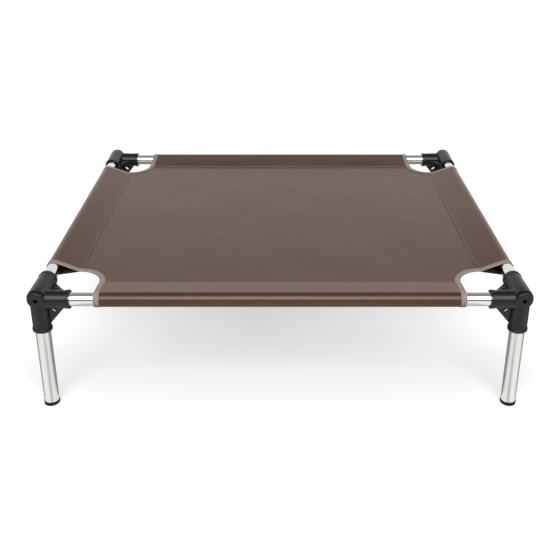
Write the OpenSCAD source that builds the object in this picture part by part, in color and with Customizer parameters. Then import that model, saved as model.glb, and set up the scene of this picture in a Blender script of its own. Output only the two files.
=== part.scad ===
// Raised dog cot: a sewn fabric sling stretched over four tube rails, which meet in
// moulded corner fittings and stand on four push-in legs.
// Millimetres, +Z up, front towards -Y, origin on the floor under the middle of the cot.

/* [Frame] */
// Distance between the axes of the left and right side rails
frame_length = 800; // [600:5:1100]
// Distance between the axes of the front and rear rails
frame_depth = 650; // [480:5:900]
// Height of the front and rear rail axes above the floor
rail_height = 210; // [150:1:400]
// How far the side rails lie above the front and rear rails, so that their screws pass each other
side_rail_lift = 6; // [5.5:0.5:8]
// Outward lean of each leg in degrees, seen from the front and again from the side
leg_splay = 2.5; // [0:0.5:5]

/* [Tubes] */
// Outside diameter of the four rails
rail_d = 23.5; // [20:0.5:28]
// Outside diameter of the legs
leg_d = 25.5; // [22:0.5:30]
// Wall of the rails and legs
tube_wall = 1.5; // [1:0.1:2.5]
// Radial clearance of a tube in its socket
tube_fit = 0.05; // [0.02:0.01:0.1]

/* [Corner fittings] */
// Plastic around a rail at the mouth of its socket
rail_socket_wall = 3.5; // [2:0.1:5]
// How much thicker that plastic gets towards the corner
socket_taper = 1.3; // [0:0.1:2]
// Plastic around a leg in its socket
leg_socket_wall = 2.6; // [1.8:0.1:4]
// From the corner to the mouth of the front or rear rail's socket
long_socket_reach = 52; // [45:1:80]
// From the corner to the mouth of the side rail's socket
side_socket_reach = 58; // [45:1:80]
// From the corner to the mouth of a leg socket
leg_socket_reach = 58; // [50:1:90]
// Solid plastic between the ends of two tubes at the corner
core_wall = 3.5; // [2.5:0.1:8]
// Length of the thickened lip at a socket mouth
lip_length = 6; // [3:0.5:10]
// How far the lip stands out from a rail's socket
rail_lip_rise = 0.8; // [0.4:0.1:2]
// How far the lip stands out from a leg's socket
leg_lip_rise = 1.2; // [0.6:0.1:2]
// Lead-in bevel inside a socket mouth
mouth_bevel = 0.8; // [0.3:0.1:1.5]
// Diameter of the round boss on the closed end of the side rail's socket
boss_d = 29.5; // [24:0.5:30]
// How far the boss stands out past the front or rear rail's socket
boss_rise = 1; // [0.5:0.1:6]
// Rounding of the boss edge
boss_edge = 3; // [0.5:0.1:4]
// Thickness of the webs that brace the sockets
web_thickness = 5; // [3:0.5:8]
// Plain socket left between a web and the lip
web_set_back = 4.5; // [2:0.5:15]
// Width of the slot in each web
web_slot_width = 4.5; // [3:0.5:5.5]
// Length of the slot, which points away from the corner
web_slot_length = 9; // [6:0.5:10]
// From the socket mouth's surface to the middle of the slot
web_slot_offset = 6.5; // [5.5:0.5:9]

/* [Screws and end plugs] */
// Diameter of the rail screws
screw_d = 4; // [3:0.5:4]
// Diameter of the screw head
screw_head_d = 7; // [6:0.5:9]
// Height of the screw head
screw_head_h = 4; // [2:0.5:4.5]
// How deep the head is sunk below the fitting's surface, to its underside
screw_seat_depth = 8; // [5:0.5:10]
// Hexagon key size, across the flats
screw_key = 3; // [2:0.5:4]
// Depth of the hexagon in the head
screw_key_depth = 2; // [1:0.1:2.5]
// Radial clearance round the screw in the fitting
screw_clearance = 0.25; // [0.1:0.05:0.4]
// Length of screw held by the end plug
screw_grip = 14; // [8:1:30]
// Length of the plug in each rail end
plug_length = 20; // [12:1:40]
// Radial clearance of a plug in its tube, and of a screw in its plug
plug_fit = 0.05; // [0.02:0.01:0.1]

/* [Foot caps] */
// Diameter of the cap under a leg
foot_d = 27.5; // [25:0.5:40]
// Thickness of the cap below the end of the leg
foot_height = 6; // [4:0.5:15]
// Rounding of the cap's upper edge
foot_edge = 1; // [0.3:0.1:1.5]
// Length of the cap's stem inside the leg
foot_stem = 18; // [10:1:40]

/* [Sling] */
// Thickness of the coated fabric
cloth = 0.7; // [0.5:0.1:1.2]
// Room between a rail and the tape inside the sleeve mouth
rail_room = 0.1; // [0.05:0.05:1]
// Height of the middle of the panel above the front and rear rail axes
panel_rise = 2; // [-2:0.5:6]
// From the front or rear rail axis to its sleeve seam
long_seam = 52; // [40:1:90]
// From a side rail axis to its sleeve seam
side_seam = 43; // [36:1:80]
// Width of sleeve fabric sewn down on the panel, inside the seam
seam_lap = 8; // [4:1:15]
// Bare front or rear rail between a socket mouth and the fabric
bare_rail = 38; // [10:1:80]
// Radius of the rounded cut-out at each corner of the fabric
cutout_radius = 42; // [15:1:48]
// Width of the binding tape along the cut-out
tape_width = 9; // [5:0.5:14]
// Thickness of the binding tape
tape = 0.5; // [0.2:0.05:1]

/* [Hidden] */
$fn = 64;

// Tubes and sockets
rail_r = rail_d / 2;
leg_r = leg_d / 2;
rail_bore_r = rail_r + tube_fit;
leg_bore_r = leg_r + tube_fit;
rail_socket_r = rail_bore_r + rail_socket_wall;
corner_r = rail_socket_r + socket_taper;
leg_socket_r = leg_bore_r + leg_socket_wall;
rail_plug_r = rail_r - tube_wall - plug_fit;
leg_plug_r = leg_r - tube_wall - plug_fit;
core = leg_r + core_wall;
socket_back = 0.6 * corner_r;
boss_reach = corner_r + boss_rise;

// Webs
long_web_end = long_socket_reach - lip_length - web_set_back;
side_web_end = side_socket_reach - lip_length - web_set_back;
leg_web_end = leg_socket_reach - lip_length - web_set_back;
web_bite = 1.5;
web_slot_at = rail_socket_r + web_slot_offset;

// Screws, measured from the corner along the rail
long_screw_seat = screw_seat_depth - corner_r;
side_screw_seat = screw_seat_depth - boss_reach;
screw_end = core + screw_grip;

// Legs, measured from the corner along the leg
leg_length = rail_height / pow(cos(leg_splay), 2);
leg_end = leg_length - foot_height;
foot_r = foot_d / 2;
foot_uncut = 2 * foot_height;
floor_size = 2 * foot_d + 2 * leg_length * tan(leg_splay);

// Sling
loop_inner_r = rail_r + rail_room + tape;
loop_outer_r = loop_inner_r + cloth;
panel_z = rail_height + panel_rise;
seam_z = panel_z + 1.5 * cloth;
long_seam_rise = seam_z - rail_height;
side_seam_rise = long_seam_rise - side_rail_lift;
cutout = long_socket_reach + bare_rail;
cutout_height = 4 * rail_d;

// Oversize of cutting solids
past = 1;

// Places

// A corner, drawn as the front left one: +X and +Y run inwards along the two rails
module at_corner(side, end) {
    translate([side * frame_length / 2, end * frame_depth / 2, rail_height])
        mirror([side > 0 ? 1 : 0, 0, 0])
            mirror([0, end > 0 ? 1 : 0, 0])
                children();
}

// Inwards along the front or rear rail, with local +Z as the rail's axis
module along_long_rail() {
    rotate([0, 90, 0]) children();
}

// Inwards along the side rail, with local +Z as the rail's axis
module along_side_rail() {
    translate([0, 0, side_rail_lift]) rotate([-90, 0, 0]) children();
}

// Down and outwards along the leg, with local +Z as the leg's axis
module along_leg() {
    rotate([-leg_splay, leg_splay, 0]) rotate([180, 0, 0]) children();
}

// Shared shapes

module tube(length, radius) {
    difference() {
        cylinder(h = length, r = radius);
        translate([0, 0, -past]) cylinder(h = length + 2 * past, r = radius - tube_wall);
    }
}

// Half section of a turned disc, from z 0 down to z -height, with its far edge rounded
module rounded_disc_section(radius, height, edge) {
    translate([0, -height + edge]) square([radius, height - edge]);
    translate([0, -height]) square([radius - edge, edge]);
    translate([radius - edge, -height + edge]) circle(edge);
}

// Half section of the lip at a socket mouth, rounded on both edges
module lip_section(socket_r, reach, rise) {
    translate([0, reach - lip_length]) square([socket_r, lip_length]);
    translate([0, reach - lip_length + rise]) square([socket_r + rise, lip_length - 2 * rise]);
    for (z = [reach - lip_length + rise, reach - rise])
        translate([socket_r, z]) circle(rise);
}

module rail_socket(reach) {
    lip_start = reach - lip_length;
    at_axis = [[0, lip_start], [0, -socket_back]];
    at_wall = [[corner_r, -socket_back], [corner_r, 0], [rail_socket_r, lip_start]];
    rotate_extrude() {
        polygon(concat(at_axis, at_wall));
        lip_section(rail_socket_r, reach, rail_lip_rise);
    }
}

module boss() {
    rotate_extrude() rounded_disc_section(boss_d / 2, boss_reach, boss_edge);
}

module leg_socket() {
    rotate_extrude() {
        square([leg_socket_r, leg_socket_reach]);
        lip_section(leg_socket_r, leg_socket_reach, leg_lip_rise);
    }
}

module socket_bore(reach, bore_r) {
    translate([0, 0, core]) cylinder(h = reach - core + past, r = bore_r);
    translate([0, 0, reach - mouth_bevel])
        cylinder(h = mouth_bevel + past, r1 = bore_r, r2 = bore_r + mouth_bevel + past);
}

module screw_passage(seat) {
    translate([0, 0, seat]) cylinder(h = core - seat + past, r = screw_d / 2 + screw_clearance);
    translate([0, 0, -boss_reach - past])
        cylinder(h = boss_reach + past + seat, r = screw_head_d / 2 + screw_clearance);
}

module slot(length, width) {
    run = length - width;
    square([run, width], center = true);
    for (end = [-1, 1]) translate([end * run / 2, 0]) circle(d = width);
}

// A web in a plane through the corner, between a rail socket and a second socket
module web(rail_end, rail_edge, other_end, other_edge, rise) {
    on_rail = [[0, rise], [rail_end, rise], [rail_end, rise + rail_edge]];
    on_other = [[other_edge, other_end], [0, other_end]];
    way = sign(rail_edge);
    linear_extrude(height = web_thickness, center = true) difference() {
        polygon(concat(on_rail, on_other));
        translate([web_slot_at, rise + way * web_slot_at])
            rotate(way * 45) slot(web_slot_length, web_slot_width);
    }
}

module webs() {
    leg_lean = leg_web_end * tan(leg_splay);
    leg_edge = leg_socket_r - leg_lean - web_bite;
    rail_edge = rail_socket_r - web_bite;
    // Front or rear rail to leg
    rotate([90, 0, 0]) web(long_web_end, -rail_edge, -leg_web_end, leg_edge, 0);
    // Side rail to leg
    rotate([90, 0, 90]) web(side_web_end, -rail_edge, -leg_web_end, leg_edge, side_rail_lift);
    // Rail to rail
    translate([0, 0, side_rail_lift / 2]) web(long_web_end, rail_edge, side_web_end, rail_edge, 0);
}

// Corner fittings

module corner_fitting(side, end) {
    color([0.13, 0.13, 0.14]) at_corner(side, end) difference() {
        union() {
            along_long_rail() rail_socket(long_socket_reach);
            along_side_rail() {
                rail_socket(side_socket_reach);
                boss();
            }
            along_leg() leg_socket();
            // A ball that fills the corner between the sockets
            translate([0, 0, side_rail_lift / 2]) sphere(corner_r);
            webs();
        }
        along_long_rail() socket_bore(long_socket_reach, rail_bore_r);
        along_side_rail() socket_bore(side_socket_reach, rail_bore_r);
        along_leg() socket_bore(leg_socket_reach, leg_bore_r);
        along_long_rail() screw_passage(long_screw_seat);
        along_side_rail() screw_passage(side_screw_seat);
    }
}

// Rails and what holds them

module long_rail(end) {
    color([0.82, 0.82, 0.8]) at_corner(-1, end) along_long_rail()
        translate([0, 0, core]) tube(frame_length - 2 * core, rail_r);
}

module side_rail(side) {
    color([0.82, 0.82, 0.8]) at_corner(side, -1) along_side_rail()
        translate([0, 0, core]) tube(frame_depth - 2 * core, rail_r);
}

module end_plug() {
    translate([0, 0, core]) difference() {
        cylinder(h = plug_length, r = rail_plug_r);
        translate([0, 0, -past]) cylinder(h = plug_length + 2 * past, r = screw_d / 2 + plug_fit);
    }
}

module long_rail_end_plugs(end) {
    color([0.2, 0.2, 0.21]) for (side = [-1, 1])
        at_corner(side, end) along_long_rail() end_plug();
}

module side_rail_end_plugs(side) {
    color([0.2, 0.2, 0.21]) for (end = [-1, 1])
        at_corner(side, end) along_side_rail() end_plug();
}

module screw(seat) {
    translate([0, 0, seat]) cylinder(h = screw_end - seat, r = screw_d / 2);
    translate([0, 0, seat - screw_head_h]) difference() {
        cylinder(h = screw_head_h, r = screw_head_d / 2);
        translate([0, 0, -past])
            cylinder(h = screw_key_depth + past, r = screw_key / 2 / cos(30), $fn = 6);
    }
}

module long_rail_screws() {
    color([0.1, 0.1, 0.1]) for (side = [-1, 1], end = [-1, 1])
        at_corner(side, end) along_long_rail() screw(long_screw_seat);
}

module side_rail_screws() {
    color([0.1, 0.1, 0.1]) for (side = [-1, 1], end = [-1, 1])
        at_corner(side, end) along_side_rail() screw(side_screw_seat);
}

// Legs

module leg(side, end) {
    color([0.8, 0.8, 0.78]) at_corner(side, end) along_leg()
        translate([0, 0, core]) tube(leg_end - core, leg_r);
}

module foot_cap(side, end) {
    color([0.12, 0.12, 0.13]) at_corner(side, end) difference() {
        along_leg() translate([0, 0, leg_end]) {
            translate([0, 0, -foot_stem]) cylinder(h = foot_stem + past, r = leg_plug_r);
            translate([0, 0, foot_uncut]) rotate_extrude()
                rounded_disc_section(foot_r, foot_uncut, foot_edge);
        }
        // The floor, which trims the underside level
        translate([-floor_size / 2, -floor_size / 2, -rail_height - foot_uncut])
            cube([floor_size, floor_size, foot_uncut]);
    }
}

// Sling

// A loop round a rail whose two sides run straight to a point, each from just inside the loop
module teardrop(radius, reach) {
    angle = asin(radius / reach);
    root = 0.99 * radius;
    circle(radius);
    polygon([[reach, 0], root * [sin(angle), cos(angle)], root * [sin(angle), -cos(angle)]]);
}

// Section of a sleeve, with X inwards from the rail axis to the seam and Y up
module sleeve_section(seam, rise) {
    reach = norm([seam, rise]);
    difference() {
        union() {
            rotate(atan2(rise, seam)) teardrop(loop_outer_r, reach);
            translate([seam - cloth, rise - cloth]) square([cloth + seam_lap, 2 * cloth]);
        }
        rotate(atan2(rise, seam)) teardrop(loop_inner_r, reach * loop_inner_r / loop_outer_r);
    }
}

// The same section with tape inside the loop, outside it and over the lap
module taped_section(seam, rise) {
    reach = norm([seam, rise]);
    outer = loop_outer_r + tape;
    inner = loop_inner_r - tape;
    lap_end = seam + seam_lap;
    difference() {
        union() {
            intersection() {
                rotate(atan2(rise, seam)) teardrop(outer, reach * outer / loop_outer_r);
                translate([-2 * outer, -2 * outer])
                    square([2 * outer + seam - cloth - tape, 4 * outer]);
            }
            translate([seam - cloth - 2 * tape, rise])
                square([cloth + seam_lap + 3 * tape, cloth + tape]);
            translate([lap_end - tape, rise - cloth + tape / 2])
                square([2 * tape, 2 * cloth - tape / 2]);
        }
        rotate(atan2(rise, seam)) teardrop(inner, reach * inner / loop_outer_r);
    }
}

// The corner cut out of the panel
module cutout_prism(side, end) {
    middle = cutout - cutout_radius;
    outside = 2 * rail_d;
    at_corner(side, end) linear_extrude(height = cutout_height, center = true) {
        translate([-outside, -outside]) square([outside + cutout, outside + middle]);
        translate([-outside, -outside]) square([outside + middle, outside + cutout]);
        translate([middle, middle]) circle(cutout_radius);
    }
}

module sling_panel() {
    size = [frame_length - 2 * side_seam, frame_depth - 2 * long_seam, cloth];
    color([0.46, 0.38, 0.35]) difference() {
        translate([0, 0, panel_z]) cube(size, center = true);
        for (side = [-1, 1], end = [-1, 1]) cutout_prism(side, end);
    }
}

module long_sleeve(end) {
    color([0.42, 0.35, 0.32]) at_corner(-1, end) translate([cutout, 0, 0]) rotate([90, 0, 90])
        linear_extrude(height = frame_length - 2 * cutout) sleeve_section(long_seam, long_seam_rise);
}

module side_sleeve(side) {
    color([0.42, 0.35, 0.32]) at_corner(side, -1) translate([0, cutout, side_rail_lift])
        mirror([0, 1, 0]) rotate([90, 0, 0])
            linear_extrude(height = frame_depth - 2 * cutout) sleeve_section(side_seam, side_seam_rise);
}

// Tape folded over the end of a sleeve, which starts at z 0
module mouth_tape(seam, rise) {
    difference() {
        translate([0, 0, -tape]) linear_extrude(height = tape + tape_width) taped_section(seam, rise);
        linear_extrude(height = tape_width + past) sleeve_section(seam, rise);
    }
}

// Tape folded over the rounded edge of the panel, between the two laps
module panel_tape() {
    middle = cutout - cutout_radius;
    depth = cloth + 2 * tape;
    intersection() {
        translate([middle, middle, panel_rise]) rotate_extrude() translate([cutout_radius, 0]) difference() {
            translate([-tape, -depth / 2]) square([tape + tape_width, depth]);
            translate([0, -cloth / 2]) square([tape_width + past, cloth]);
        }
        translate([side_seam + seam_lap, long_seam + seam_lap, panel_rise - depth])
            cube([cutout + tape_width, cutout + tape_width, 2 * depth]);
    }
}

// From one sleeve mouth round the cut-out to the other
module corner_binding(side, end) {
    color([0.63, 0.58, 0.53]) at_corner(side, end) {
        panel_tape();
        translate([cutout, 0, 0]) rotate([90, 0, 90]) mouth_tape(long_seam, long_seam_rise);
        translate([0, cutout, side_rail_lift]) mirror([0, 1, 0]) rotate([90, 0, 0])
            mouth_tape(side_seam, side_seam_rise);
    }
}

// Assembly

corner_fitting(-1, -1);  // corner_fitting_front_left
corner_fitting(1, -1);  // corner_fitting_front_right
corner_fitting(-1, 1);  // corner_fitting_rear_left
corner_fitting(1, 1);  // corner_fitting_rear_right
long_rail(-1);  // front_rail
long_rail(1);  // rear_rail
side_rail(-1);  // left_rail
side_rail(1);  // right_rail
long_rail_end_plugs(-1);  // front_rail_end_plugs
long_rail_end_plugs(1);  // rear_rail_end_plugs
side_rail_end_plugs(-1);  // left_rail_end_plugs
side_rail_end_plugs(1);  // right_rail_end_plugs
long_rail_screws();
side_rail_screws();
leg(-1, -1);  // leg_front_left
leg(1, -1);  // leg_front_right
leg(-1, 1);  // leg_rear_left
leg(1, 1);  // leg_rear_right
foot_cap(-1, -1);  // foot_cap_front_left
foot_cap(1, -1);  // foot_cap_front_right
foot_cap(-1, 1);  // foot_cap_rear_left
foot_cap(1, 1);  // foot_cap_rear_right
sling_panel();
long_sleeve(-1);  // front_sleeve
long_sleeve(1);  // rear_sleeve
side_sleeve(-1);  // left_sleeve
side_sleeve(1);  // right_sleeve
corner_binding(-1, -1);  // corner_binding_front_left
corner_binding(1, -1);  // corner_binding_front_right
corner_binding(-1, 1);  // corner_binding_rear_left
corner_binding(1, 1);  // corner_binding_rear_right
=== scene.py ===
import math

import bpy
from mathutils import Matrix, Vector, noise


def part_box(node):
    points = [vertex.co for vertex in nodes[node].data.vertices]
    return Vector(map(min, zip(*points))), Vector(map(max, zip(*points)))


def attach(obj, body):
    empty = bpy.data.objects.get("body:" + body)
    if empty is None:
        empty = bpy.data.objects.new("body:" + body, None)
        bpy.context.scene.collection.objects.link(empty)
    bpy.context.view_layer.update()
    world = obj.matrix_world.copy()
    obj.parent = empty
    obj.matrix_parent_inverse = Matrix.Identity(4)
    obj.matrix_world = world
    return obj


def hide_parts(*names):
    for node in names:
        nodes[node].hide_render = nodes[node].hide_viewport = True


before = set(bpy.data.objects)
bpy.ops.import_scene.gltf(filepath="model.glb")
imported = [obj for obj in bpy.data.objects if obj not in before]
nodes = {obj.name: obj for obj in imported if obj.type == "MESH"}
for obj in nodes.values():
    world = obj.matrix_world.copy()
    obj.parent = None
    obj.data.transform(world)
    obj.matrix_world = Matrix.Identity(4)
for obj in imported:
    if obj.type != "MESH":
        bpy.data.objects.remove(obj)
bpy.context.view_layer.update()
print("frame loaded,", len(nodes), "nodes")


# Shader maths

class Signal:                                        # one socket in a node tree, or the bare tree
    def __init__(self, tree, socket=None):
        self.tree = tree
        self.socket = socket

    def plug(self, target, item):
        if isinstance(item, Signal):
            self.tree.links.new(item.socket, target)
        else:
            target.default_value = item

    def node(self, kind, settings=None, sockets=None, take=0):
        made = self.tree.nodes.new(kind)
        for name, value in (settings or {}).items():
            if name == "stops":
                for stop, (place, colour) in zip(made.color_ramp.elements, value):
                    stop.position = place
                    stop.color = (*colour, 1)
            else:
                setattr(made, name, value)
        for name, item in (sockets or {}).items():
            self.plug(made.inputs[name], item)
        return Signal(self.tree, made.outputs[take]) if made.outputs else made

    def others(self, *names):                        # named outputs of this signal's node
        return [Signal(self.tree, self.socket.node.outputs[name]) for name in names]

    def maths(self, operation, first, second):
        return self.node("ShaderNodeMath", {"operation": operation}, {0: first, 1: second})

    def __add__(self, other):
        return self.maths("ADD", self, other)

    def __radd__(self, other):
        return self.maths("ADD", other, self)

    def __sub__(self, other):
        return self.maths("SUBTRACT", self, other)

    def __rsub__(self, other):
        return self.maths("SUBTRACT", other, self)

    def __mul__(self, other):
        return self.maths("MULTIPLY", self, other)

    def __rmul__(self, other):
        return self.maths("MULTIPLY", other, self)

    def __truediv__(self, other):
        return self.maths("DIVIDE", self, other)

    def __rtruediv__(self, other):
        return self.maths("DIVIDE", other, self)

    def sine(self):
        return self.maths("SINE", self, 0.0)

    def most(self, other):
        return self.maths("MAXIMUM", self, other)

    def clamped(self):
        return self.node("ShaderNodeClamp", None, {"Value": self})


def fromScreen(red, green, blue):                    # screen colour 0-255 to the shader's linear colour
    linear = []
    for part in (red, green, blue):
        part /= 255
        linear.append(part / 12.92 if part <= 0.04045 else ((part + 0.055) / 1.055) ** 2.4)
    return (*linear, 1)


def newFinish(name, constants):                      # a material, its bare tree and its main shader
    material = bpy.data.materials.new(name)
    material.use_nodes = True
    tree = material.node_tree
    shader = tree.nodes["Principled BSDF"]
    for socket, value in constants.items():
        shader.inputs[socket].default_value = value
    return material, Signal(tree), shader.inputs


def onCloth(base):                                   # metres along and across the flat cloth
    return base.node("ShaderNodeAttribute", {"attribute_name": "cloth"}, None, "Vector")


def onSolid(base):
    return base.node("ShaderNodeTexCoord", None, None, "Object")


def axes(base, where, *names):
    return base.node("ShaderNodeSeparateXYZ", None, {"Vector": where}).others(*names)


def speckle(base, where, scale, detail=2.0):         # soft noise from 0 to 1
    return base.node("ShaderNodeTexNoise", None, {"Vector": where, "Scale": scale, "Detail": detail})


def stretched(base, where, scale):                   # coordinates pulled out along an axis
    return base.node("ShaderNodeMapping", None, {"Vector": where, "Scale": scale})


def ramp(base, amount, first, second):               # two (place, colour) stops
    return base.node("ShaderNodeValToRGB", {"stops": [first, second]}, {"Fac": amount})


def raised(base, strength, distance, height):
    sockets = {"Strength": strength, "Distance": distance, "Height": height}
    return base.node("ShaderNodeBump", None, sockets)


toneSpread = 0.18                                    # how much darker and lighter a finish gets in places
toneStops = (0.2, 0.8)                               # where in the signal it is darkest and lightest


def shaded(base, colour, amount):                    # one colour, darker and lighter with a signal
    low = [part * (1 - toneSpread) for part in colour[:3]]
    high = [min(part * (1 + toneSpread), 1) for part in colour[:3]]
    return ramp(base, amount, (toneStops[0], low), (toneStops[1], high))


# Finishes

fabricLook = {
    "colour": fromScreen(66, 41, 29),
    "roughness": 0.32,
    "shine": {"Specular IOR Level": 0.57, "Specular Tint": (1, 0.77, 0.65, 1), "Sheen Weight": 0.6,
              "Sheen Roughness": 0.3, "Sheen Tint": (1, 0.55, 0.35, 1)},
    # painted shade: the inside face is much darker than the outside, standing in for the shade inside the
    # sleeves
    "lining": fromScreen(34, 28, 25),
    "liningRoughness": 0.8,
    "liningShine": {"Specular IOR Level": 0.3},
    "threadPitch": 0.0011,                           # metres from one thread of the weave to the next
    "threadGrain": (9, 420),                         # noise along and across a thread, per metre
    "clouds": 11.0,                                  # broad patches per metre
    "crinkle": (208, 65, 130),                       # small dents per metre, along, across and up
    "toneMix": (0.55, 0.25, 0.2),                    # clouds, warp and weft in the colour
    "cloudGloss": 0.07,
    "weaveGloss": 0.05,
    "lumpMix": (0.6, 0.8),                           # threads and dents in the relief, where the weave is 1
    "weaveDepth": 0.25,
    "reliefMetres": 0.0002,
}


def makeFabric(name, colour, roughness, shine):
    material, base, shader = newFinish(name, shine)
    cloth = onCloth(base)
    along, across = axes(base, cloth, "X", "Y")
    turn = 2 * math.pi / fabricLook["threadPitch"]
    weave = (along * turn).sine() * (across * turn).sine() * 0.5 + 0.5
    far, near = fabricLook["threadGrain"]
    warp = speckle(base, stretched(base, cloth, (far, near, 1)), 1.0)
    weft = speckle(base, stretched(base, cloth, (near, far, 1)), 1.0)
    cloud = speckle(base, cloth, fabricLook["clouds"], 4.0)
    crinkle = speckle(base, stretched(base, cloth, fabricLook["crinkle"]), 1.0)
    cloudPart, warpPart, weftPart = fabricLook["toneMix"]
    tone = cloud * cloudPart + warp * warpPart + weft * weftPart
    base.plug(shader["Base Color"], shaded(base, colour, tone))
    gloss = (cloud - 0.5) * fabricLook["cloudGloss"] - weave * fabricLook["weaveGloss"]
    base.plug(shader["Roughness"], gloss + roughness)
    threadPart, dentPart = fabricLook["lumpMix"]
    lumps = weave + (warp + weft) * threadPart + crinkle * dentPart
    relief = raised(base, fabricLook["weaveDepth"], fabricLook["reliefMetres"], lumps)
    base.plug(shader["Normal"], relief)
    return material


slingFabric = makeFabric("slingFabric", fabricLook["colour"], fabricLook["roughness"], fabricLook["shine"])
liningAndShade = makeFabric("liningAndShade", fabricLook["lining"], fabricLook["liningRoughness"],
                         fabricLook["liningShine"])

tapeLook = {
    "colour": fromScreen(150, 137, 125),
    "shine": {"Specular IOR Level": 0.25, "Sheen Weight": 0.15},
    "roughness": 0.7,
    "ribPitch": 0.0013,
    "ribDepth": 0.5,
    "fuzz": 900.0,
    "wear": 60.0,
    "toneMix": (0.6, 0.25, 0.15),                    # wear, fuzz and ribs in the colour
    "fuzzGloss": 0.2,
    "fuzzHeight": 0.8,                               # in the relief, where a rib is 1
    "reliefMetres": 0.0002,
}


def makeTape():
    material, base, shader = newFinish("bindingTape", tapeLook["shine"])
    cloth = onCloth(base)
    along, = axes(base, cloth, "X")
    ribs = (along * (2 * math.pi / tapeLook["ribPitch"])).sine() * 0.5 + 0.5
    fuzz = speckle(base, cloth, tapeLook["fuzz"], 3.0)
    worn = speckle(base, cloth, tapeLook["wear"], 3.0)
    wearPart, fuzzPart, ribPart = tapeLook["toneMix"]
    tone = worn * wearPart + fuzz * fuzzPart + ribs * ribPart
    base.plug(shader["Base Color"], shaded(base, tapeLook["colour"], tone))
    base.plug(shader["Roughness"], fuzz * tapeLook["fuzzGloss"] + tapeLook["roughness"])
    lumps = ribs + fuzz * tapeLook["fuzzHeight"]
    relief = raised(base, tapeLook["ribDepth"], tapeLook["reliefMetres"], lumps)
    base.plug(shader["Normal"], relief)
    return material


bindingTape = makeTape()

threadLook = {
    # painted sheen: the seam thread is lighter than the cloth's own colour, standing in for the sheen the
    # cloth shows beside it
    "seam": fromScreen(100, 80, 71),
    "tape": fromScreen(118, 105, 95),
    "shine": {"Specular IOR Level": 0.35},
    "roughness": 0.5,
    "twist": 1500.0,
    "twistGloss": 0.2,
}


def makeThread(name, colour):
    material, base, shader = newFinish(name, threadLook["shine"])
    twist = speckle(base, onSolid(base), threadLook["twist"])
    base.plug(shader["Base Color"], shaded(base, colour, twist))
    base.plug(shader["Roughness"], twist * threadLook["twistGloss"] + threadLook["roughness"])
    return material


seamThread = makeThread("seamThread", threadLook["seam"])
tapeThread = makeThread("tapeThread", threadLook["tape"])

metalLook = {
    "colour": fromScreen(230, 228, 223),
    "dullShare": 0.9,                                # of the colour, in the darker draw marks
    "railRoughness": 0.12,
    "legRoughness": 0.32,
    "streaks": (600.0, 3.0),                         # draw marks per metre, round the tube and along it
    "stripes": (220.0, 1.5),
    "haze": 30.0,
    "toneMix": (0.5, 0.3, 0.2),                      # stripes, streaks and haze in the colour
    "toneStops": (0.3, 0.7),
    "hazeGloss": 0.14,
    "streakDepth": 0.06,
    "reliefMetres": 0.0001,
}


def drawnOut(base, place, marks, axis):              # marks drawn out along the tube's axis: 0, 1 or 2
    scale = [marks[0]] * 3
    scale[axis] = marks[1]
    return stretched(base, place, scale)


def makeTubeMetal(name, roughness, axis):
    material, base, shader = newFinish(name, {"Metallic": 1.0})
    place = onSolid(base)
    streak = speckle(base, drawnOut(base, place, metalLook["streaks"], axis), 1.0, 3.0)
    stripe = speckle(base, drawnOut(base, place, metalLook["stripes"], axis), 1.0)
    haze = speckle(base, place, metalLook["haze"])
    light = metalLook["colour"][:3]
    dark = [part * metalLook["dullShare"] for part in light]
    stripePart, streakPart, hazePart = metalLook["toneMix"]
    tone = stripe * stripePart + streak * streakPart + haze * hazePart
    begin, end = metalLook["toneStops"]
    base.plug(shader["Base Color"], ramp(base, tone, (begin, dark), (end, light)))
    gloss = (streak * 0.5 + haze * 0.5 - 0.5) * metalLook["hazeGloss"]
    base.plug(shader["Roughness"], gloss + roughness)
    relief = raised(base, metalLook["streakDepth"], metalLook["reliefMetres"], streak)
    base.plug(shader["Normal"], relief)
    return material


railMetalX = makeTubeMetal("railMetalX", metalLook["railRoughness"], 0)
railMetalY = makeTubeMetal("railMetalY", metalLook["railRoughness"], 1)
legMetal = makeTubeMetal("legMetal", metalLook["legRoughness"], 2)

plasticLook = {
    "fitting": {"colour": fromScreen(10, 10, 12), "roughness": 0.34, "grainDepth": 0.07, "shine": 0.38},
    "foot": {"colour": fromScreen(8, 8, 9), "roughness": 0.5, "grainDepth": 0.3, "shine": 0.18},
    "plug": {"colour": fromScreen(45, 45, 47), "roughness": 0.5, "grainDepth": 0.2, "shine": 0.3},
    "grain": 1800.0,
    "grainBlend": 0.6,
    "clouds": 45.0,
    "cloudGloss": 0.2,
    "reliefMetres": 0.0001,
}


def makePlastic(name, look):
    material, base, shader = newFinish(name, {"Specular IOR Level": look["shine"]})
    place = onSolid(base)
    sockets = {"Vector": place, "Scale": plasticLook["grain"], "Smoothness": plasticLook["grainBlend"]}
    grain = base.node("ShaderNodeTexVoronoi", {"feature": "SMOOTH_F1"}, sockets, "Distance")
    cloud = speckle(base, place, plasticLook["clouds"], 4.0)
    base.plug(shader["Base Color"], shaded(base, look["colour"], cloud))
    base.plug(shader["Roughness"], (cloud - 0.5) * plasticLook["cloudGloss"] + look["roughness"])
    base.plug(shader["Normal"], raised(base, look["grainDepth"], plasticLook["reliefMetres"], grain))
    return material


fittingPlastic = makePlastic("fittingPlastic", plasticLook["fitting"])
footRubber = makePlastic("footRubber", plasticLook["foot"])
plugPlastic = makePlastic("plugPlastic", plasticLook["plug"])

screwLook = {
    "colour": fromScreen(18, 18, 18),
    "roughness": 0.3,
    "metallic": 0.9,
    "oxide": 700.0,
    "oxideGloss": 0.25,
}


def makeScrewSteel():
    material, base, shader = newFinish("screwSteel", {"Metallic": screwLook["metallic"]})
    oxide = speckle(base, onSolid(base), screwLook["oxide"], 3.0)
    base.plug(shader["Base Color"], shaded(base, screwLook["colour"], oxide))
    base.plug(shader["Roughness"], oxide * screwLook["oxideGloss"] + screwLook["roughness"])
    return material


screwSteel = makeScrewSteel()

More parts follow.
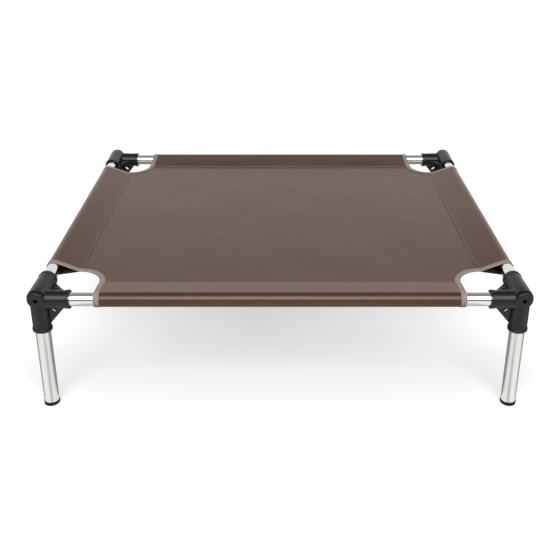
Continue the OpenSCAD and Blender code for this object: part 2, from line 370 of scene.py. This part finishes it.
finishes = [                                         # the first start of a node's name that fits
    ("corner_fitting", fittingPlastic), ("front_rail_end", plugPlastic), ("rear_rail_end", plugPlastic),
    ("left_rail_end", plugPlastic), ("right_rail_end", plugPlastic), ("long_rail_screws", screwSteel),
    ("side_rail_screws", screwSteel), ("front_rail", railMetalX), ("rear_rail", railMetalX),
    ("left_rail", railMetalY), ("right_rail", railMetalY), ("leg_", legMetal), ("foot_cap", footRubber),
]
for name, part in nodes.items():
    for start, finish in finishes:
        if name.startswith(start):
            part.data.materials.clear()
            part.data.materials.append(finish)
            break
print("finishes made")


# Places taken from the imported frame

def middleOf(node):
    low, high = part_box(node)
    return (Vector(low) + Vector(high)) / 2


railX = middleOf("right_rail").x                     # side rail axes, left and right of the middle
railY = middleOf("rear_rail").y                      # front and rear rail axes
longZ = middleOf("front_rail").z
sideZ = middleOf("left_rail").z

sling = {
    "cloth": 0.0007,                                 # thickness of the coated fabric
    "panelZ": middleOf("sling_panel").z,
    "longSeam": 0.052,                               # rail axis to the seam, front and rear
    "sideSeam": 0.043,
    "lap": 0.008,                                    # sleeve cloth sewn on the panel, inside the seam
    "cut": 0.090,                                    # corner to the edge of the cut-out
    "cutRadius": 0.042,
    "mouthSlant": 0.003,                             # by which that edge moves off towards the rail
}
cutMiddle = sling["cut"] - sling["cutRadius"]        # corner to the middle of the cut-out's arc
rails = {
    "front": ("long", -1, longZ, sling["longSeam"], railX, railY),
    "rear": ("long", 1, longZ, sling["longSeam"], railX, railY),
    "left": ("side", -1, sideZ, sling["sideSeam"], railY, railX),
    "right": ("side", 1, sideZ, sling["sideSeam"], railY, railX),
}
corners = {"front_left": (-1, -1), "front_right": (1, -1), "rear_left": (-1, 1), "rear_right": (1, 1)}


def cutAt(inward):                                   # corner to the fabric's edge, this far in from a rail
    if inward <= cutMiddle:
        return sling["cut"] + sling["mouthSlant"] * (1 - max(inward, 0) / cutMiddle)
    across = min(inward - cutMiddle, sling["cutRadius"])
    return cutMiddle + math.sqrt(sling["cutRadius"] ** 2 - across ** 2)


def onRail(rail, along, inward, up):                 # a point by its place on a sleeve
    kind, side, _, _, half, offset = rail
    if kind == "long":
        return Vector((along - half, side * (offset - inward), up))
    return Vector((side * (offset - inward), along - half, up))


def turned(rail, inward, up):                        # a direction square to a rail
    kind, side = rail[:2]
    return Vector((0, -side * inward, up)) if kind == "long" else Vector((-side * inward, 0, up))


def newPiece(name, points, faces, materials, cloth=None):
    mesh = bpy.data.meshes.new(name)
    mesh.from_pydata(points, [], faces)
    if cloth:
        layer = mesh.attributes.new("cloth", "FLOAT_VECTOR", "POINT")
        layer.data.foreach_set("vector", [part for item in cloth for part in item])
    for material in materials:
        mesh.materials.append(material)
    mesh.polygons.foreach_set("use_smooth", [True] * len(mesh.polygons))
    mesh.update()
    piece = bpy.data.objects.new(name, mesh)
    bpy.context.collection.objects.link(piece)
    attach(piece, "frame")
    return piece


def gridFaces(rows, columns, flip=False):
    faces = []
    for row in range(rows - 1):
        for column in range(columns - 1):
            corner = row * columns + column
            face = (corner, corner + 1, corner + columns + 1, corner + columns)
            faces.append(face[::-1] if flip else face)
    return faces


def thicken(piece, depth):                           # cloth with a cut edge, which stays sharp
    uses = [0] * len(piece.data.edges)
    for loop in piece.data.loops:
        uses[loop.edge_index] += 1
    sharp = piece.data.attributes.new("sharp_edge", "BOOLEAN", "EDGE")
    sharp.data.foreach_set("value", [count == 1 for count in uses])
    shell = piece.modifiers.new("thickness", "SOLIDIFY")
    shell.thickness = depth
    shell.offset = 0
    shell.material_offset = 1                        # lining on the inside, painted dark as the shade inside the sleeves


tiny = 1e-9                                          # keeps a length of nothing from being a divisor


def waysAlong(places):                               # distance along a line of points, at each of them
    ways = [0.0]
    for before, after in zip(places, places[1:]):
        ways.append(ways[-1] + math.dist(before, after))
    return ways


# Sleeves

sleeve = {
    "loopRadius": 0.0127,                            # rail axis to the middle of the cloth round it
    "lapSink": ((1, 0.6), (0.8, 0.45),               # share of the lap, share of the cloth pressed down
                (0.55, 0.25), (0.25, 0.05)),
    "sideSteps": 14,
    "loopSteps": 32,
    "grid": 0.005,
    "pucker": 0.00022,                               # small ripples at the seam
    "puckerReach": 0.012,
    "puckerScale": (70, 25),                         # ripples per metre, along the rail and round it
    "swell": 0.0005,                                 # slow waves between the rail and the seam
    "swellStart": 0.006,
    "swellScale": (9, 14),
}


def sleeveProfile(axisZ, seam):                      # (in, up, normal in, normal up) round the sleeve
    radius, cloth, steps = sleeve["loopRadius"], sling["cloth"], sleeve["sideSteps"]
    lines, angles = [], []
    for side in (1, -1):
        start = (seam, sling["panelZ"] + side * cloth - axisZ)
        away = math.hypot(*start)
        angles.append(math.atan2(start[1], start[0]) + side * math.acos(radius / away))
        facing = (math.cos(angles[-1]), math.sin(angles[-1]))
        line = [(seam + sling["lap"] * part, start[1] - side * sink * cloth, 0, side)
                for part, sink in sleeve["lapSink"]]
        for step in range(steps):
            part = step / steps
            point = [start[axis] * (1 - part) + radius * facing[axis] * part for axis in (0, 1)]
            line.append((*point, *facing))
        lines.append(line)
    first, last = angles[0], angles[1] + 2 * math.pi
    loop = []
    for step in range(sleeve["loopSteps"] + 1):
        angle = first + (last - first) * step / sleeve["loopSteps"]
        facing = (math.cos(angle), math.sin(angle))
        loop.append((radius * facing[0], radius * facing[1], *facing))
    whole = lines[0] + loop + lines[1][::-1]
    return [(inward, up + axisZ, faceIn, faceUp) for inward, up, faceIn, faceUp in whole]


def sleeveLift(rail, along, inward, way):            # ripples of the cloth, outwards
    _, side, axisZ, seam, _, _ = rail
    perAlong, perWay = sleeve["puckerScale"]         # the third coordinate gives each rail its own waves
    ripple = noise.noise(Vector((along * perAlong, way * perWay, axisZ * 90 + side * 3)))
    perAlong, perWay = sleeve["swellScale"]
    slow = noise.noise(Vector((along * perAlong, way * perWay, side * 5 + axisZ * 30)))
    seamward = math.exp(-abs(inward - seam - sling["lap"] / 2) / sleeve["puckerReach"])
    lift = sleeve["pucker"] * seamward * ripple
    begin = sleeve["swellStart"]
    if inward > begin:
        lift += sleeve["swell"] * slow * math.sin(math.pi * min(1, (inward - begin) / (seam - begin)))
    return lift


def makeSleeve(name, rail):
    kind, side, axisZ, seam, half, _ = rail
    profile = sleeveProfile(axisZ, seam)
    ways = waysAlong([item[:2] for item in profile])
    columns = int(2 * half / sleeve["grid"])
    points, cloth = [], []
    for (inward, up, faceIn, faceUp), way in zip(profile, ways):
        edge = cutAt(inward)
        for column in range(columns):
            along = edge + (2 * half - 2 * edge) * column / (columns - 1)
            lift = sleeveLift(rail, along, inward, way)
            points.append(onRail(rail, along, inward, up) + lift * turned(rail, faceIn, faceUp))
            cloth.append((along, way, 0))
    flip = (kind == "long") == (side < 0)
    piece = newPiece(name + "_sleeve_cloth", points, gridFaces(len(profile), columns, flip),
                     [slingFabric, liningAndShade], cloth)
    thicken(piece, sling["cloth"])
    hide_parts(name + "_sleeve")
    return piece


sleeves = {name: makeSleeve(name, rail) for name, rail in rails.items()}


# Panel

panelShape = {
    "sag": 0.0035,
    "sagPower": 0.7,                                 # below 1 is flatter in the middle
    "drift": 0.0007,                                 # broad unevenness
    "driftScale": 9,
    "pull": 0.0002,                                  # faint diagonal creases
    "pullScale": (26, 5),                            # per metre, across and along them
    "layers": (0.3, 4.1),                            # of the noise, for the drift and the pull
    "calm": 4,                                       # how fast both grow from the seams
    "grid": 0.007,
    "cornerSteps": 15,
    "cornerGap": 0.0002,                             # from the end of an arc to the straight rows
}
panelX, panelY = railX - sling["sideSeam"], railY - sling["longSeam"]
arcRise = (sling["longSeam"] - cutMiddle) / sling["cutRadius"]
seamAngle = math.asin(arcRise)                       # where the cut-out's arc leaves the long seam


def panelHeight(x, y):                               # middle of the panel's cloth
    inside = max(0, 1 - (x / panelX) ** 2) * max(0, 1 - (y / panelY) ** 2)
    driftLayer, pullLayer = panelShape["layers"]
    scale = panelShape["driftScale"]
    drift = noise.noise(Vector((x * scale, y * scale, driftLayer))) * panelShape["drift"]
    across, along = panelShape["pullScale"]
    pull = noise.noise(Vector(((x + y) * across, (x - y) * along, pullLayer))) * panelShape["pull"]
    dish = panelShape["sag"] * inside ** panelShape["sagPower"]
    return sling["panelZ"] - dish + (drift + pull) * min(1, panelShape["calm"] * inside)


def makePanel():
    corner = []
    for step in range(panelShape["cornerSteps"] + 1):
        angle = seamAngle + (math.pi / 2 - seamAngle) * step / panelShape["cornerSteps"]
        corner.append((railY - cutMiddle - sling["cutRadius"] * math.sin(angle),
                       railX - cutMiddle - sling["cutRadius"] * math.cos(angle)))
    plainY = railY - sling["cut"] - panelShape["cornerGap"]
    count = 2 * int(plainY / panelShape["grid"])
    rows = [(-y, wide) for y, wide in corner]
    rows += [(-plainY + 2 * plainY * step / count, panelX) for step in range(count + 1)]
    rows += corner[::-1]
    columns = 2 * int(panelX / panelShape["grid"]) + 1
    points, cloth = [], []
    for y, wide in rows:
        for column in range(columns):
            x = wide * (2 * column / (columns - 1) - 1)
            points.append((x, y, panelHeight(x, y)))
            cloth.append((x, y, 0))
    piece = newPiece("sling_panel_cloth", points, gridFaces(len(rows), columns),
                     [slingFabric, liningAndShade], cloth)
    thicken(piece, sling["cloth"])
    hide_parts("sling_panel")
    return piece


panel = makePanel()


# Binding tape

tape = {
    "width": 0.009,
    "thick": 0.0005,
    "spacing": 0.0022,                               # metres between two sections along the tape
    "rows": (0.0019, 0.0072),                        # stitch rows, from the folded edge
    "arcSteps": 30,
    "foldSteps": 6,
    "foldDepth": 0.8,                                # of the folded edge, where 1 is a half circle
    "crown": 1.04,
    "bevel": 0.0003,
    "edgeDrop": 0.3,                                 # of the tape's thickness, at its sewn edge
    "lapEnd": 1.5,                                   # laps from the seam where it is down on the panel
    "room": 0.0001,                                  # more half thickness where it runs over the panel
    "crease": 0.00012,
    "creaseScale": 160,
    "clothStep": 0.0015,                             # metres of tape between two points of its outline
}


def loopStations(axisZ, seam):                       # the sleeve's profile without its laps
    laps = len(sleeve["lapSink"])
    for inward, up, faceIn, faceUp in sleeveProfile(axisZ, seam)[laps:-laps]:
        yield inward, cutAt(inward), up, faceIn, faceUp, inward > 0 and faceUp < 0


def cornerPath():                                    # (point, normal, into the cloth, half thickness, under)
    cloth, panelZ, steps = sling["cloth"], sling["panelZ"], tape["arcSteps"]
    stations = []
    for inward, edge, up, faceIn, faceUp, under in loopStations(longZ, sling["longSeam"]):
        stations.append(((edge, inward, up), (0, faceIn, faceUp), (1, 0, 0), cloth / 2, under))
    stations.reverse()
    for step in range(1, steps):
        angle = seamAngle + (math.pi / 2 - seamAngle) * step / steps
        out = (math.cos(angle), math.sin(angle), 0)
        place = [cutMiddle + sling["cutRadius"] * part for part in out[:2]]
        fromLap = min(place[1] - sling["longSeam"], place[0] - sling["sideSeam"])
        inLap = max(0, min(1, tape["lapEnd"] - fromLap / sling["lap"]))
        point = (*place, panelZ + inLap * cloth)
        stations.append((point, (0, 0, 1), out, cloth / 2 + tape["room"], False))
    for inward, edge, up, faceIn, faceUp, under in loopStations(sideZ, sling["sideSeam"]):
        stations.append(((inward, edge, up), (faceIn, 0, faceUp), (0, 1, 0), cloth / 2, under))
    return [(Vector(point), Vector(normal), Vector(into), half, under)
            for point, normal, into, half, under in stations]


def evenPath(stations, spacing):                     # the same path in equal steps, its normals smoothed
    ways = waysAlong([item[0] for item in stations])
    count = int(ways[-1] / spacing)
    even, index = [], 0
    for step in range(count + 1):
        way = ways[-1] * step / count
        while index < len(ways) - 2 and ways[index + 1] < way:
            index += 1
        part = (way - ways[index]) / max(ways[index + 1] - ways[index], tiny)
        before, after = stations[index], stations[index + 1]
        even.append([before[kind].lerp(after[kind], part) for kind in range(3)]
                    + [before[3] * (1 - part) + after[3] * part, before[4]])
    smooth = []
    for step, (point, _, inward, half, under) in enumerate(even):
        near = even[max(0, step - 2):step + 3]
        normal = sum((item[1] for item in near), Vector()).normalized()
        run = (even[min(step + 1, count)][0] - even[max(step - 1, 0)][0]).normalized()
        into = run.cross(normal).normalized()
        if into.dot(inward) < 0:
            into.negate()
        smooth.append((point, normal, into, half, ways[-1] * step / count, under))
    return smooth


def tapeSection(half):                               # outline of the folded tape: (into the cloth, up)
    wide, outer, bevel = tape["width"], half + tape["thick"], tape["bevel"]
    turn = math.pi / tape["foldSteps"]
    fold = [(-tape["foldDepth"] * outer * math.sin(turn * step), outer * math.cos(turn * step))
            for step in range(1, tape["foldSteps"])]
    upper = [(wide, outer - tape["edgeDrop"] * tape["thick"]), (wide - bevel, outer),
             (wide * 0.5, outer * tape["crown"]), (0, outer)]
    lower = [(into, -up) for into, up in upper[::-1]]
    inside = [(wide, -half), (bevel, -half), (-0.5 * half, 0), (bevel, half), (wide, half)]
    return upper + fold + lower + inside


cornerStations = evenPath(cornerPath(), tape["spacing"])


def atCorner(side, end, point):                      # from the corner's own directions to the frame's
    return Vector((side * (railX - point.x), end * (railY - point.y), point.z))


def faceCorner(side, end, way):
    return Vector((-side * way.x, -end * way.y, way.z))


def makeBinding(name, side, end):
    points, cloth, faces = [], [], []
    for point, normal, into, half, way, _ in cornerStations:
        place = atCorner(side, end, point)
        up, inward = faceCorner(side, end, normal), faceCorner(side, end, into)
        crease = tape["crease"] * noise.noise(Vector((way * tape["creaseScale"], side * 3, end * 7)))
        section = tapeSection(half)
        for index, (depth, height) in enumerate(section):
            points.append(place + inward * depth + up * (height + (crease if depth > 0 else 0)))
            cloth.append((way, index * tape["clothStep"], 0))
    size = len(section)
    for row in range(len(cornerStations) - 1):
        for index in range(size):
            here, after = row * size + index, row * size + (index + 1) % size
            face = (here, after, after + size, here + size)
            faces.append(face if side * end > 0 else face[::-1])
    faces += [tuple(range(size)), tuple(range(len(points) - size, len(points)))]
    piece = newPiece("binding_tape_" + name, points, faces, [bindingTape, liningAndShade], cloth)
    for row, station in enumerate(cornerStations[:-1]):
        if station[5]:                               # painted shade: below the rail the tape takes the dark inside finish, standing in for the shade it lies in
            for index in range(size):
                piece.data.polygons[row * size + index].material_index = 1
    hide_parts("corner_binding_" + name)
    return piece


bindings = [makeBinding(name, *signs) for name, signs in corners.items()]
print("binding tape sewn round", len(bindings), "corners")


# Stitches

stitch = {
    "pitch": 0.0042,
    "length": 0.0033,
    "radius": 0.00032,
    "rise": 0.00022,                                 # of the thread's arch
    "sink": 0.0001,                                  # of its ends
    "start": 0.0004,
    "endThick": 0.55,                                # of the radius
    "ahead": 0.0002,                                 # metres, for the thread's direction
    "rings": 4,
    "sides": 6,
    "seamRows": ((0.0014, 1.45), (0.0066, 1.05)),    # in from the seam, cloth thicknesses above the panel
    "seamStep": 0.004,
    "tapeGap": 0.001,
}


def placeOn(path, ways, way):                        # the point and the upward direction at a distance
    low, high = 0, len(ways) - 2
    while low < high:
        index = (low + high) // 2
        if ways[index + 1] < way:
            low = index + 1
        else:
            high = index
    part = (way - ways[low]) / max(ways[low + 1] - ways[low], tiny)
    return path[low][0].lerp(path[low + 1][0], part), path[low][1]


def addStitches(points, faces, path):                # path: (place, up) in equal small steps
    ways = waysAlong([item[0] for item in path])
    rings, sides = stitch["rings"], stitch["sides"]
    for number in range(int(ways[-1] / stitch["pitch"])):
        begin = number * stitch["pitch"] + stitch["start"]
        first = len(points)
        for ring in range(rings + 1):
            way = begin + stitch["length"] * ring / rings
            place, up = placeOn(path, ways, way)
            ahead, _ = placeOn(path, ways, way + stitch["ahead"])
            across = (ahead - place).normalized().cross(up).normalized()
            arch = math.sin(math.pi * ring / rings)
            thick = stitch["radius"] * (stitch["endThick"] + (1 - stitch["endThick"]) * arch)
            centre = place + up * (stitch["rise"] * arch - stitch["sink"])
            for turn in range(sides):
                angle = 2 * math.pi * turn / sides
                points.append(centre + across * thick * math.cos(angle) + up * thick * math.sin(angle))
        for ring in range(rings):
            for turn in range(sides):
                here = first + ring * sides + turn
                after = first + ring * sides + (turn + 1) % sides
                faces.append((here, here + sides, after + sides, after))
        faces.append(tuple(range(first, first + sides)))
        faces.append(tuple(range(first + rings * sides, first + (rings + 1) * sides))[::-1])


def makeSeamStitches(name, rail):
    _, _, _, seam, half, _ = rail
    points, faces = [], []
    for face in (1, -1):
        for inset, rise in stitch["seamRows"]:
            inward, up = seam + inset, sling["panelZ"] + face * rise * sling["cloth"]
            edge = cutAt(inward) + tape["width"] + stitch["tapeGap"]
            length = 2 * half - 2 * edge
            steps = int(length / stitch["seamStep"])
            path = [(onRail(rail, edge + length * step / steps, inward, up), Vector((0, 0, face)))
                    for step in range(steps + 1)]
            addStitches(points, faces, path)
    piece = newPiece(name + "_seam_stitches", points, faces, [seamThread])
    return piece


def makeTapeStitches(name, side, end):
    points, faces = [], []
    for row in tape["rows"]:
        path = []
        for point, normal, into, half, _, _ in cornerStations:
            up = faceCorner(side, end, normal)
            place = atCorner(side, end, point) + faceCorner(side, end, into) * row
            path.append((place + up * (half + tape["thick"]), up))
        addStitches(points, faces, path)
    piece = newPiece("tape_stitches_" + name, points, faces, [tapeThread])
    return piece


seamRows = [makeSeamStitches(name, rail) for name, rail in rails.items()]
tapeRows = [makeTapeStitches(name, *signs) for name, signs in corners.items()]
print("stitches sewn")


# Studio

studio = {
    "paper": fromScreen(150, 150, 150),              # what lights the cot from below
    "shade": fromScreen(186, 186, 186),              # what shows the shadow
    "shadeFade": (0.6, 1.3),                         # metres from the middle over which that fades
    "glow": 0.5,                                     # the paper's own light near the cot, where 1 is white
    "glowEven": (0.45, 1.3),                         # metres from the middle over which it rises to 1
    # painted shadow: the glow is lowest round the front of the cot and rises to the rear, the sides and the
    # front, shaping the cot's shadow on the paper
    "glowBack": (-0.26, 0.18, 0.095),                # rise to the rear: from where, over what, how much
    "glowWide": (0.5, 0.17),                         # and more towards the sides: over what, how much
    "glowShift": 0.05,                               # metres left of the middle where the sides begin
    "glowFront": (-0.26, 0.12, 0.07),                # rise towards the camera
    "floorHalf": 6.0,
    "floorDrop": 0.0003,
    "ambient": 0.32,
    "boxSize": (2.9, 1.9),
    "boxTilt": 45.5,                                 # degrees from straight above, towards the front
    "boxAway": 3.0,
    "boxAim": 0.2,                                   # height that the softbox looks at
    "boxLevel": 5.3,                                 # brightness of its face, where 1 is white
}


def flat(low, high, z):                              # a level rectangle between two corners
    return [(low[0], low[1], z), (high[0], low[1], z), (high[0], high[1], z), (low[0], high[1], z)]


flags = [                                            # cards that only reflections show: level, outline
    (0.08, flat((-6, 2.2), (6, 4.4), 4)),
    (0.4, flat((-6, 0.8), (6, 2.2), 4)),
    (0.35, flat((-6, -0.5), (6, 0.8), 4)),
    (0.3, flat((-6, -1.6), (6, -0.5), 4)),
    (0.12, [(-5, -4, 0.5), (5, -4, 0.5), (5, -4, 2.2), (-5, -4, 2.2)]),
    (0.3, flat((-3, -0.28), (3, 0.4), 0)),
    (0.3, flat((-3, -0.34), (-0.434, -0.28), 0)),
    (0.3, flat((0.434, -0.34), (3, -0.28), 0)),
    (0.3, flat((-0.391, -0.323), (0.391, -0.28), 0)),
    (0.6, [(-0.409, -0.345, 0), (-0.394, -0.65, 0), (-0.18, -0.58, 0)]),
    (0.6, [(0.409, -0.345, 0), (0.18, -0.58, 0), (0.394, -0.65, 0)]),
]


def stagePiece(name, points, material):
    mesh = bpy.data.meshes.new(name)
    mesh.from_pydata(points, [], [tuple(range(len(points)))])
    mesh.materials.append(material)
    piece = bpy.data.objects.new(name, mesh)
    bpy.context.collection.objects.link(piece)
    return piece


def raysSeen(base):                                  # 1 for the rays that show the white surroundings
    rays = base.node("ShaderNodeLightPath")
    camera, glossy, through = rays.others("Is Camera Ray", "Is Glossy Ray", "Is Transmission Ray")
    return camera.most(glossy).most(through)


def emptyMaterial(name):
    material = bpy.data.materials.new(name)
    material.use_nodes = True
    material.node_tree.nodes.clear()
    return material, Signal(material.node_tree)


def grey(base, level):
    return base.node("ShaderNodeCombineColor", None, {"Red": level, "Green": level, "Blue": level})


def makeFloor():
    half = studio["floorHalf"]
    material, base = emptyMaterial("studioPaper")
    place = onSolid(base)
    across, along = axes(base, place, "X", "Y")
    away = base.node("ShaderNodeVectorMath", {"operation": "LENGTH"}, {0: place}, "Value")
    # painted shadow: the glow is shaped round the cot so that the paper darkens where the cot's shadow lies
    begin, over, rise = studio["glowBack"]
    reach, wider = studio["glowWide"]
    aside = across + studio["glowShift"]
    sideways = (aside.most(aside * -1) / reach).clamped() * wider + rise
    near = ((along - begin) / over).clamped() * sideways + studio["glow"]
    begin, over, rise = studio["glowFront"]
    near = near + ((begin - along) / over).clamped() * rise
    begin, end = studio["glowEven"]
    level = ((away - begin) / (end - begin)).clamped() * (1 - near) + near
    begin, end = studio["shadeFade"]
    dim = ((end - away) / (end - begin)).clamped() * studio["shade"][0]
    paper = base.node("ShaderNodeBsdfDiffuse", None, {"Color": studio["paper"]})
    shade = base.node("ShaderNodeBsdfDiffuse", None, {"Color": grey(base, dim)})
    glow = base.node("ShaderNodeEmission", None, {"Color": grey(base, level), "Strength": 1.0})
    bright = base.node("ShaderNodeAddShader", None, {0: shade, 1: glow})
    both = base.node("ShaderNodeMixShader", None, {"Fac": raysSeen(base), 1: paper, 2: bright})
    base.node("ShaderNodeOutputMaterial", None, {"Surface": both})
    floor = stagePiece("studioFloor", flat((-half, -half), (half, half), 0), material)
    floor.location.z = -studio["floorDrop"]


def makeFlags():
    for number, (level, points) in enumerate(flags):
        material, base = emptyMaterial("flagCard%d" % number)
        card = base.node("ShaderNodeEmission", None, {"Color": (1, 1, 1, 1), "Strength": level})
        base.node("ShaderNodeOutputMaterial", None, {"Surface": card})
        piece = stagePiece("flag%d" % number, points, material)
        piece.visible_camera = False
        piece.visible_diffuse = False
        piece.visible_shadow = False
        piece.visible_transmission = False


def makeWorld():
    world = bpy.data.worlds.new("studioAir")
    bpy.context.scene.world = world
    world.use_nodes = True
    world.node_tree.nodes.clear()
    base = Signal(world.node_tree)
    strength = raysSeen(base) * (1 - studio["ambient"]) + studio["ambient"]
    air = base.node("ShaderNodeBackground", None, {"Color": (1, 1, 1, 1), "Strength": strength})
    base.node("ShaderNodeOutputWorld", None, {"Surface": air})


def makeSoftbox():
    lamp = bpy.data.lights.new("softbox", "AREA")
    lamp.shape = "RECTANGLE"
    lamp.size, lamp.size_y = studio["boxSize"]
    lamp.energy = studio["boxLevel"] * math.pi * lamp.size * lamp.size_y
    box = bpy.data.objects.new("softbox", lamp)
    lean, away = math.radians(studio["boxTilt"]), studio["boxAway"]
    box.location = (0, -away * math.sin(lean), studio["boxAim"] + away * math.cos(lean))
    box.rotation_euler = (lean, 0, 0)
    bpy.context.collection.objects.link(box)


camera = {
    "place": (0.0, -1.3145, 0.8238),
    "tilt": 59.75,                                   # degrees up from straight down
    "lens": 45.1,
    "sensor": 36,
}


def makeCamera():
    lens = bpy.data.cameras.new("camera")
    lens.sensor_width = camera["sensor"]
    lens.lens = camera["lens"]
    eye = bpy.data.objects.new("camera", lens)
    eye.location = camera["place"]
    eye.rotation_euler = (math.radians(camera["tilt"]), 0, 0)
    bpy.context.collection.objects.link(eye)
    bpy.context.scene.camera = eye


makeFloor()
makeFlags()
makeWorld()
makeSoftbox()
makeCamera()
bpy.context.scene.view_settings.view_transform = "Standard"
print("studio set")
